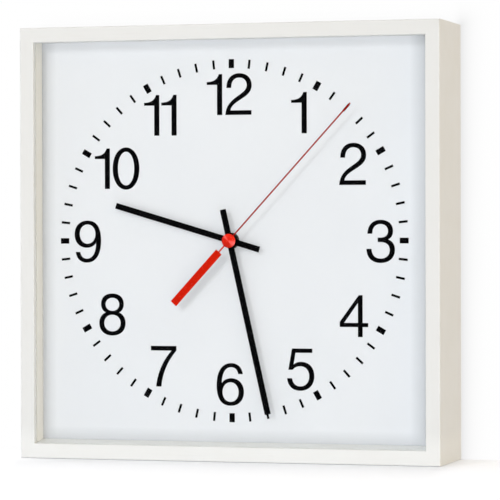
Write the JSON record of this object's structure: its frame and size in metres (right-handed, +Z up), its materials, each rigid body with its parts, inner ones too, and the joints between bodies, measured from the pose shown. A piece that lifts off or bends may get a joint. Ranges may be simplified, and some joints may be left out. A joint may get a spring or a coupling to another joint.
{
  "type": "quartz wall clock",
  "caption": "Square wall clock: deep mitred box frame, recessed white dial behind glass, geared hour, minute and second hands, and a battery quartz movement with its train.",
  "frame": {"origin": "centre of the keyhole that hangs the clock, on the wall plane at the back of the case", "axes": "+X to the right seen from the front, +Y into the wall along the axes of the hands, +Z up"},
  "size_m": [0.3, 0.066, 0.3],
  "materials": {
    "case_paint": "off-white satin lacquer over fine-grained wood fibre",
    "glass": "clear float glass with polished faces",
    "dial_white": "cool white satin enamel",
    "ink": "black screen-printed ink",
    "hardboard": "brown hardboard, smooth face out",
    "zinc_steel": "zinc-plated pressed steel",
    "brass": "turned brass",
    "rubber": "black rubber",
    "black_plastic": "black moulded plastic, finely textured",
    "natural_plastic": "natural acetal",
    "gear_plastic": "white acetal",
    "gear_brass": "yellow acetal",
    "circuit_green": "green solder mask",
    "chip_black": "black epoxy drop",
    "crystal_can": "tinned can",
    "soft_iron": "stamped soft iron",
    "copper": "enamelled copper wire",
    "plated_steel": "nickel-plated spring steel",
    "cell_jacket": "plain printed jacket with bare metal ends",
    "magnet": "sintered magnet",
    "hand_black": "satin black paint on aluminium sheet",
    "hand_red": "red gloss paint on aluminium sheet",
    "cap_red": "red gloss plastic"
  },
  "bodies": {
    "case": {"backing_board": "hardboard", "board_clips": "zinc_steel", "centre_bush": "brass", "circuit_board": "circuit_green", "circuit_chip": "chip_black", "clip_screws": "brass", "coil_bobbin": "natural_plastic", "coil_core": "soft_iron", "coil_screws": "plated_steel", "coil_winding": "copper", "contact_minus": "plated_steel", "contact_plus": "plated_steel", "corner_fasteners": "zinc_steel", "dial": "dial_white", "dial_washer": "brass", "fixing_nut": "brass", "glass": "glass", "hanger_plate": "zinc_steel", "hanger_screws": "brass", "middle_plate": "natural_plastic", "minute_marks": "ink", "movement_base": "black_plastic", "movement_cover": "black_plastic", "quartz_crystal": "crystal_can", "rail_bottom": "case_paint", "rail_left": "case_paint", "rail_right": "case_paint", "rail_top": "case_paint", "rear_bridge": "natural_plastic", "rubber_washer": "rubber", "spacer_bottom": "case_paint", "spacer_left": "case_paint", "spacer_right": "case_paint", "spacer_top": "case_paint", "stator": "soft_iron"},
    "second": {"second_wheel": "gear_brass", "second_hand": "hand_red", "second_cap": "cap_red"},
    "rotor": {"rotor_magnet": "magnet", "rotor_pinion": "gear_plastic"},
    "intermediate": {"intermediate_wheel": "gear_plastic"},
    "third": {"third_wheel": "gear_plastic"},
    "minute": {"centre_wheel": "gear_brass", "minute_hand": "hand_black", "hand_nut": "brass"},
    "motion": {"motion_wheel": "gear_plastic"},
    "hour": {"hour_wheel": "gear_brass", "hour_hand": "hand_black"},
    "setting": {"setting_shaft": "gear_plastic", "setting_knob": "black_plastic"},
    "cell": {"battery": "cell_jacket"}
  },
  "joints": [
    {"name": "second_hand_spin", "type": "hinge", "parent": "case", "child": "second", "pos_m": [0, 0, -0.128], "axis": [0, 1, 0], "continuous": true},
    {"name": "rotor_spin", "type": "hinge", "parent": "case", "child": "rotor", "pos_m": [0.01357, 0, -0.12948], "axis": [0, 1, 0], "continuous": true},
    {"name": "intermediate_spin", "type": "hinge", "parent": "case", "child": "intermediate", "pos_m": [0.00668, 0, -0.1307], "axis": [0, 1, 0], "continuous": true},
    {"name": "third_spin", "type": "hinge", "parent": "case", "child": "third", "pos_m": [0.00544, 0, -0.12256], "axis": [0, 1, 0], "continuous": true},
    {"name": "minute_hand_spin", "type": "hinge", "parent": "case", "child": "minute", "pos_m": [0, 0, -0.128], "axis": [0, 1, 0], "continuous": true},
    {"name": "motion_spin", "type": "hinge", "parent": "case", "child": "motion", "pos_m": [-0.00727, 0, -0.1238], "axis": [0, 1, 0], "continuous": true},
    {"name": "hour_hand_spin", "type": "hinge", "parent": "case", "child": "hour", "pos_m": [0, 0, -0.128], "axis": [0, 1, 0], "continuous": true},
    {"name": "setting_knob_spin", "type": "hinge", "parent": "case", "child": "setting", "pos_m": [-0.01517, 0, -0.12093], "axis": [0, 1, 0], "continuous": true},
    {"name": "battery_slide", "type": "slide", "parent": "case", "child": "cell", "axis": [0, 1, 0], "range_m": [0, 0.02]}
  ],
  "couplings": [
    {"joint": "rotor_spin", "follows": "second_hand_spin", "ratio": 30},
    {"joint": "intermediate_spin", "follows": "second_hand_spin", "ratio": -5},
    {"joint": "third_spin", "follows": "second_hand_spin", "ratio": -0.16667},
    {"joint": "minute_hand_spin", "follows": "second_hand_spin", "ratio": 0.016667},
    {"joint": "motion_spin", "follows": "second_hand_spin", "ratio": -0.0055556},
    {"joint": "hour_hand_spin", "follows": "second_hand_spin", "ratio": 0.0013889},
    {"joint": "setting_knob_spin", "follows": "second_hand_spin", "ratio": 0.016667}
  ]
}
